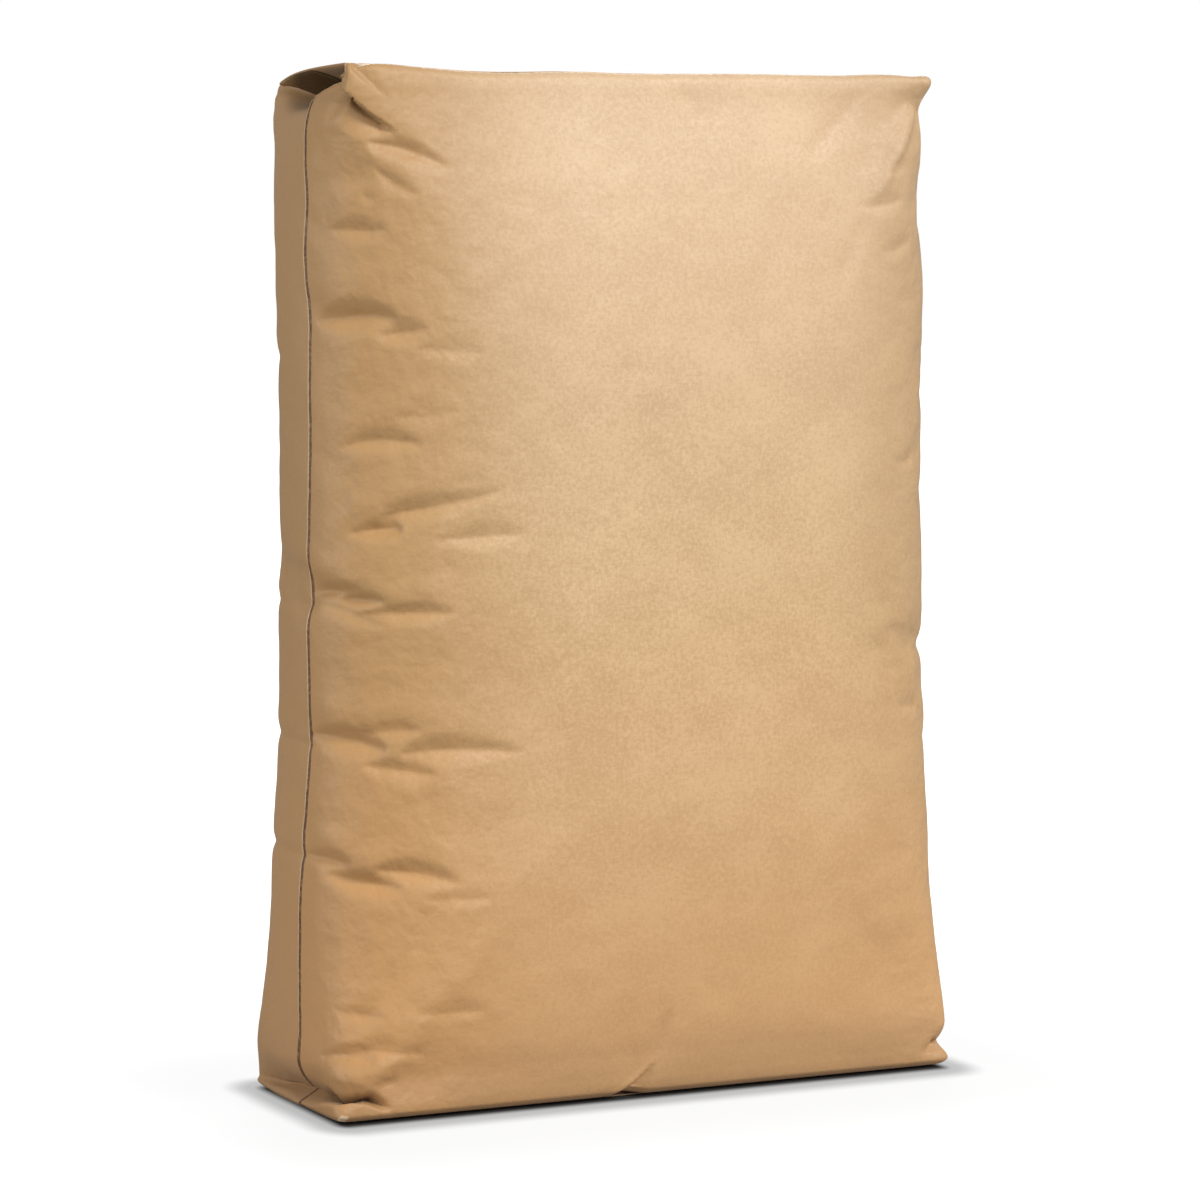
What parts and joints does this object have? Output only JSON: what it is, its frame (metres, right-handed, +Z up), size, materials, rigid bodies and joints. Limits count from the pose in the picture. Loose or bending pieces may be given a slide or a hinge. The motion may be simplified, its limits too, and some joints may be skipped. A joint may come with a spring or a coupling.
{
  "type": "cement sack",
  "caption": "Filled kraft paper block-bottom valve sack for cement, standing on its end, with pasted end patches and a corner valve sleeve",
  "frame": {"origin": "on the floor, at the middle of the sack's bottom block", "axes": "+Z up along the sack's length, +X along the broad face away from the valve side, -Y out of the broad front face"},
  "size_m": [0.4116, 0.153, 0.6199],
  "materials": {
    "kraft_paper": "unbleached kraft paper, matt with a faint calendered sheen, soft creases along the filled edges",
    "patch_paper": "unbleached kraft paper, matt, pasted flat over the folded end",
    "sleeve_paper": "unbleached kraft paper, matt, darker inner ply of the valve"
  },
  "bodies": {
    "root": {"sack": "kraft_paper", "bottom_patch": "patch_paper", "top_patch": "patch_paper", "valve_sleeve": "sleeve_paper"}
  },
  "joints": []
}
